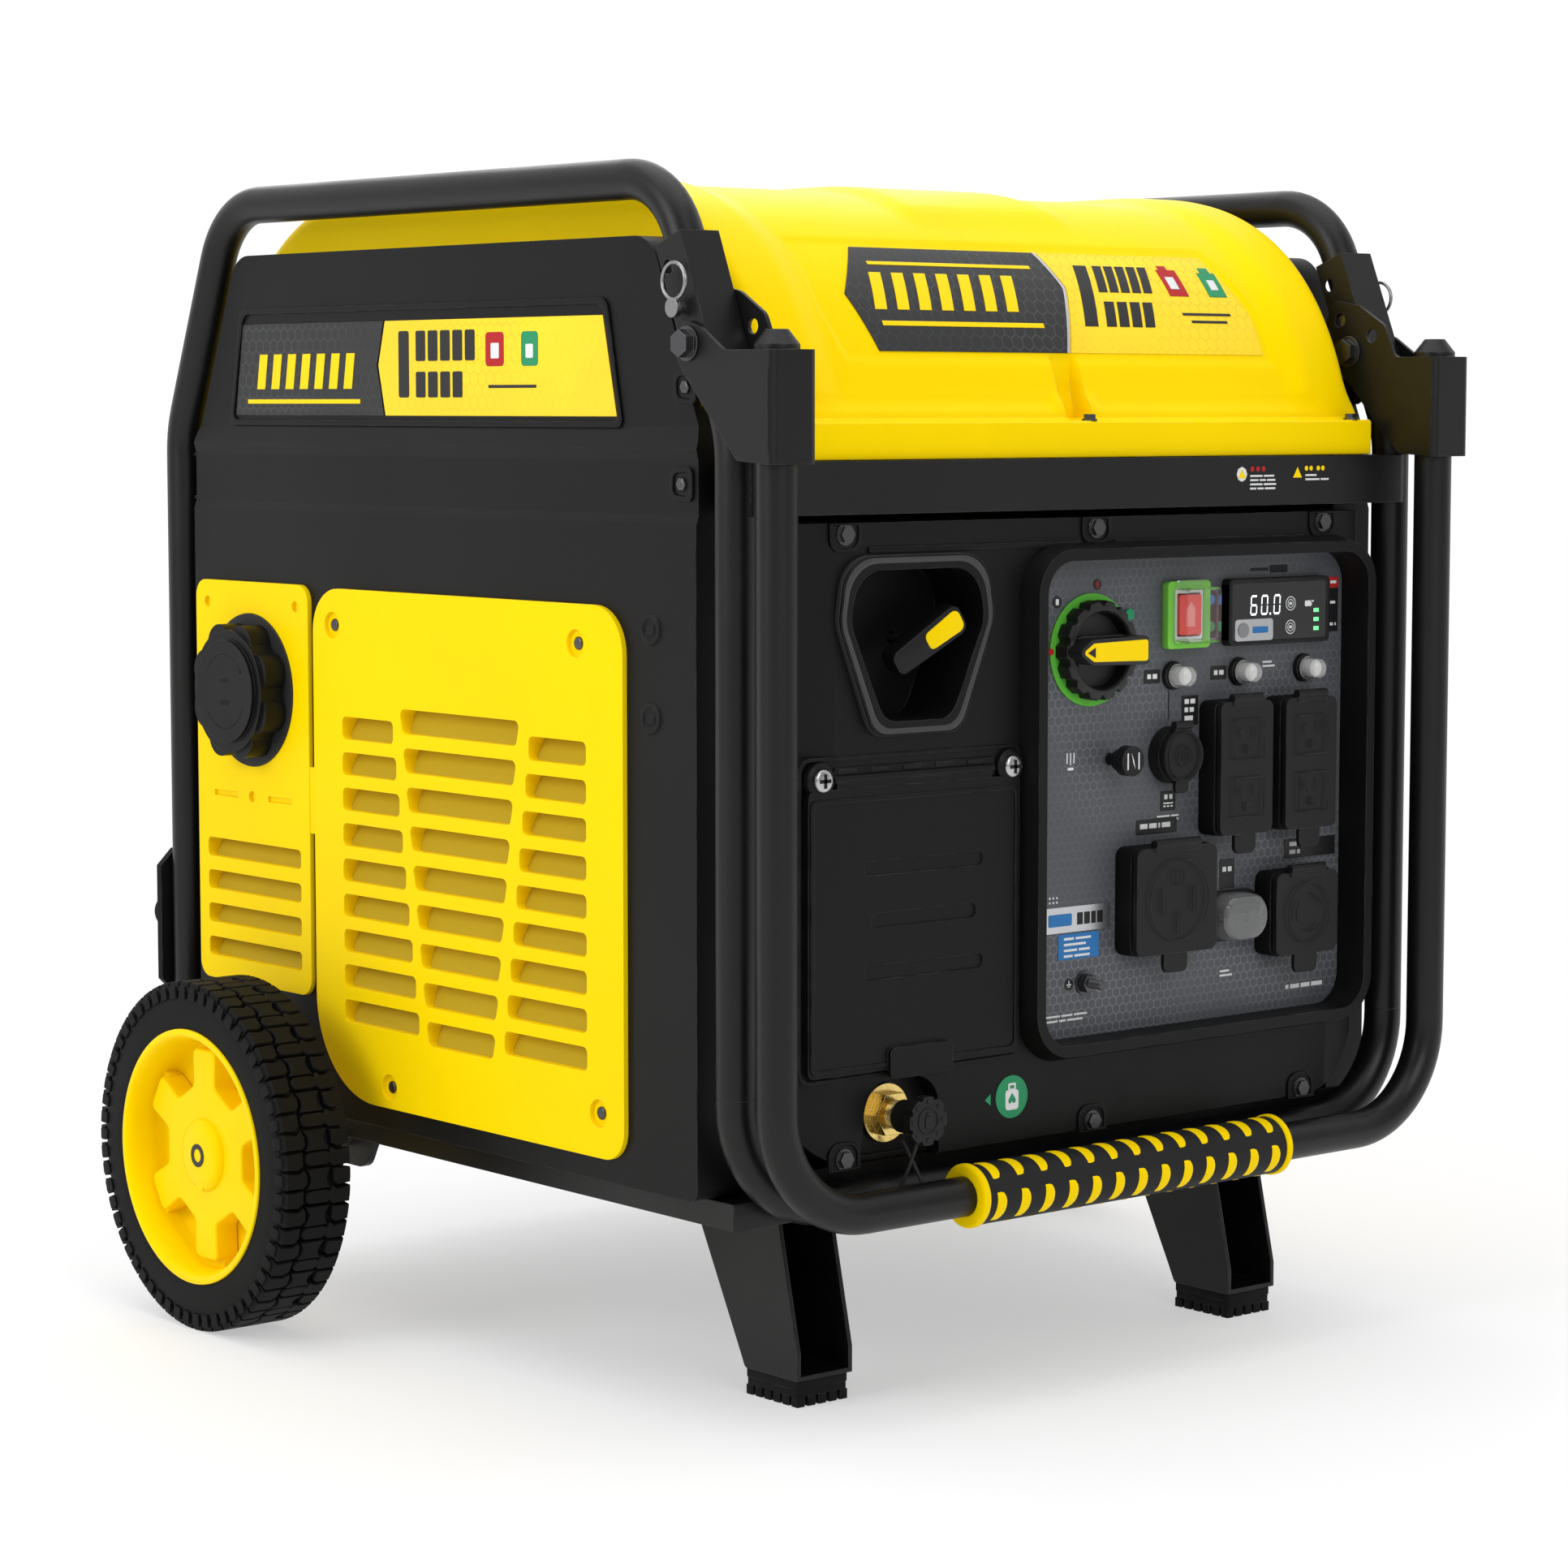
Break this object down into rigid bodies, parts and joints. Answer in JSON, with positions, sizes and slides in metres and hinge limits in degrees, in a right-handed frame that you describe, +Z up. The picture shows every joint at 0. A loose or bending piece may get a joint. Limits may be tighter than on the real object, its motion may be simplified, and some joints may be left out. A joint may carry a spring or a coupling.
{
  "type": "portable generator",
  "caption": "Inverter generator in a tube frame with two wheels, two legs, a folding tow handle, vented side panels and a front panel of covered outlets.",
  "frame": {"origin": "on the floor, under the middle of the bounding box", "axes": "+Z up, +X to the right seen from the control panel side, +Y towards the rear; the control panel and tow handle face -Y"},
  "size_m": [0.794, 0.7254, 0.7856],
  "materials": {
    "frame_black": "satin",
    "panel_black": "matte",
    "panel_yellow": "satin",
    "cover_yellow": "satin",
    "rim_yellow": "satin",
    "tyre_rubber": "matte",
    "pad_rubber": "matte",
    "grip_rubber": "matte",
    "plate_slate": "satin",
    "control_black": "satin",
    "dial_black": "satin",
    "switch_red": "gloss",
    "clear_guard": "clear",
    "button_white": "satin",
    "button_grey": "satin",
    "brass": "polished",
    "bolt_steel": "satin",
    "pin_steel": "satin",
    "axle_steel": "satin",
    "engine_alloy": "cast",
    "rotor_iron": "machined",
    "stator_copper": "varnished",
    "muffler_steel": "satin",
    "tank_plastic": "matte",
    "battery_plastic": "matte",
    "inverter_alloy": "satin",
    "tether_plastic": "matte"
  },
  "bodies": {
    "machine": {"left_roll_bar": "frame_black", "right_roll_bar": "frame_black", "frame_cross_members": "frame_black", "base_tray": "frame_black", "wheel_axle": "axle_steel", "support_legs": "frame_black", "foot_pads": "pad_rubber", "hinge_clamshells": "frame_black", "left_side_panel": "panel_black", "right_side_panel": "panel_black", "vent_panels": "panel_yellow", "fuel_cap_panel": "panel_yellow", "front_fascia": "panel_black", "rear_cover": "panel_black", "top_cover": "cover_yellow", "control_bezel": "panel_black", "control_plate": "plate_slate", "recoil_bezel": "panel_black", "case_bolts": "bolt_steel", "outlet_bases": "control_black", "panel_fittings": "control_black", "breaker_boots": "clear_guard", "display_module": "control_black", "lpg_inlet": "brass", "lpg_tether": "tether_plastic", "engine_block": "engine_alloy", "generator_stator": "stator_copper", "muffler": "muffler_steel", "fuel_tank": "tank_plastic", "battery": "battery_plastic", "inverter_module": "inverter_alloy", "rear_bumpers": "pad_rubber"},
    "handle": {"handle_tube": "frame_black", "handle_grip": "grip_rubber", "handle_brackets": "frame_black"},
    "left_lock_pin": {"left_lock_pin": "pin_steel"},
    "right_lock_pin": {"right_lock_pin": "pin_steel"},
    "left_wheel": {"left_tyre": "tyre_rubber", "left_rim": "rim_yellow"},
    "right_wheel": {"right_tyre": "tyre_rubber", "right_rim": "rim_yellow"},
    "fuel_cap": {"fuel_cap": "panel_black"},
    "engine_dial": {"engine_dial": "dial_black"},
    "rocker_switch": {"rocker_switch": "switch_red"},
    "rocker_cover": {"rocker_cover": "clear_guard"},
    "choke_knob": {"choke_knob": "control_black"},
    "recoil_grip": {"recoil_grip": "control_black"},
    "service_door": {"service_door": "panel_black"},
    "left_outlet_cover": {"left_outlet_cover": "control_black"},
    "right_outlet_cover": {"right_outlet_cover": "control_black"},
    "large_outlet_cover": {"large_outlet_cover": "control_black"},
    "locking_outlet_cover": {"locking_outlet_cover": "control_black"},
    "socket_cover": {"socket_cover": "control_black"},
    "main_breaker_lever": {"main_breaker_lever": "control_black"},
    "lpg_cap": {"lpg_cap": "control_black"},
    "display_button": {"display_button": "button_grey"},
    "breaker_button_1": {"breaker_button_1": "button_white"},
    "breaker_button_2": {"breaker_button_2": "button_white"},
    "breaker_button_3": {"breaker_button_3": "button_white"},
    "crank": {"crank_rotor": "rotor_iron"}
  },
  "joints": [
    {"name": "handle_swing", "type": "hinge", "parent": "machine", "child": "handle", "pos_m": [0, -0.28025, 0.671], "axis": [1, 0, 0], "range_deg": [-85, 0]},
    {"name": "left_lock_pin_slide", "type": "slide", "parent": "machine", "child": "left_lock_pin", "axis": [1, 0, 0], "range_m": [0, 0.0045]},
    {"name": "right_lock_pin_slide", "type": "slide", "parent": "machine", "child": "right_lock_pin", "axis": [-1, 0, 0], "range_m": [0, 0.0045]},
    {"name": "left_wheel_spin", "type": "hinge", "parent": "machine", "child": "left_wheel", "pos_m": [-0.3695, 0.16475, 0.12065], "axis": [1, 0, 0], "continuous": true},
    {"name": "right_wheel_spin", "type": "hinge", "parent": "machine", "child": "right_wheel", "pos_m": [0.3695, 0.16475, 0.12065], "axis": [1, 0, 0], "continuous": true},
    {"name": "fuel_cap_turn", "type": "hinge", "parent": "machine", "child": "fuel_cap", "pos_m": [-0.32, 0.22025, 0.4345], "axis": [-1, 0, 0], "range_deg": [0, 180]},
    {"name": "engine_dial_turn", "type": "hinge", "parent": "machine", "child": "engine_dial", "pos_m": [0.0055, -0.31225, 0.475], "axis": [0, 1, 0], "range_deg": [0, 120]},
    {"name": "rocker_tilt", "type": "hinge", "parent": "machine", "child": "rocker_switch", "pos_m": [0.0916, -0.30425, 0.4953], "axis": [1, 0, 0], "range_deg": [-8, 8]},
    {"name": "rocker_cover_lift", "type": "hinge", "parent": "machine", "child": "rocker_cover", "pos_m": [0.0916, -0.31075, 0.5163], "axis": [1, 0, 0], "range_deg": [-100, 0]},
    {"name": "choke_pull", "type": "slide", "parent": "machine", "child": "choke_knob", "axis": [0, -1, 0], "range_m": [0, 0.012]},
    {"name": "recoil_pull", "type": "slide", "parent": "machine", "child": "recoil_grip", "axis": [0, -1, 0], "range_m": [0, 0.45]},
    {"name": "service_door_swing", "type": "hinge", "parent": "machine", "child": "service_door", "pos_m": [-0.159, -0.31475, 0.4044], "axis": [1, 0, 0], "range_deg": [-100, 0]},
    {"name": "left_outlet_cover_lift", "type": "hinge", "parent": "machine", "child": "left_outlet_cover", "pos_m": [0.1334, -0.32165, 0.4389], "axis": [1, 0, 0], "range_deg": [-110, 0]},
    {"name": "right_outlet_cover_lift", "type": "hinge", "parent": "machine", "child": "right_outlet_cover", "pos_m": [0.1965, -0.32165, 0.4389], "axis": [1, 0, 0], "range_deg": [-110, 0]},
    {"name": "large_outlet_cover_lift", "type": "hinge", "parent": "machine", "child": "large_outlet_cover", "pos_m": [0.068, -0.32165, 0.3456], "axis": [1, 0, 0], "range_deg": [-110, 0]},
    {"name": "locking_outlet_cover_lift", "type": "hinge", "parent": "machine", "child": "locking_outlet_cover", "pos_m": [0.1942, -0.32165, 0.3197], "axis": [1, 0, 0], "range_deg": [-110, 0]},
    {"name": "socket_cover_lift", "type": "hinge", "parent": "machine", "child": "socket_cover", "pos_m": [0.0787, -0.31545, 0.4228], "axis": [1, 0, 0], "range_deg": [-110, 0]},
    {"name": "main_breaker_throw", "type": "hinge", "parent": "machine", "child": "main_breaker_lever", "pos_m": [0.136, -0.31075, 0.29], "axis": [1, 0, 0], "range_deg": [-15, 15]},
    {"name": "lpg_cap_turn", "type": "hinge", "parent": "machine", "child": "lpg_cap", "pos_m": [-0.1692, -0.32825, 0.1888], "axis": [0, 1, 0], "range_deg": [0, 270]},
    {"name": "display_button_press", "type": "slide", "parent": "machine", "child": "display_button", "axis": [0, 1, 0], "range_m": [0, 0.0015], "stiffness_N_per_m": 150},
    {"name": "breaker_1_press", "type": "slide", "parent": "machine", "child": "breaker_button_1", "axis": [0, 1, 0], "range_m": [0, 0.002], "stiffness_N_per_m": 300},
    {"name": "breaker_2_press", "type": "slide", "parent": "machine", "child": "breaker_button_2", "axis": [0, 1, 0], "range_m": [0, 0.002], "stiffness_N_per_m": 300},
    {"name": "breaker_3_press", "type": "slide", "parent": "machine", "child": "breaker_button_3", "axis": [0, 1, 0], "range_m": [0, 0.002], "stiffness_N_per_m": 300},
    {"name": "crank_spin", "type": "hinge", "parent": "machine", "child": "crank", "pos_m": [-0.02, -0.04225, 0.3], "axis": [0, 1, 0], "continuous": true}
  ]
}
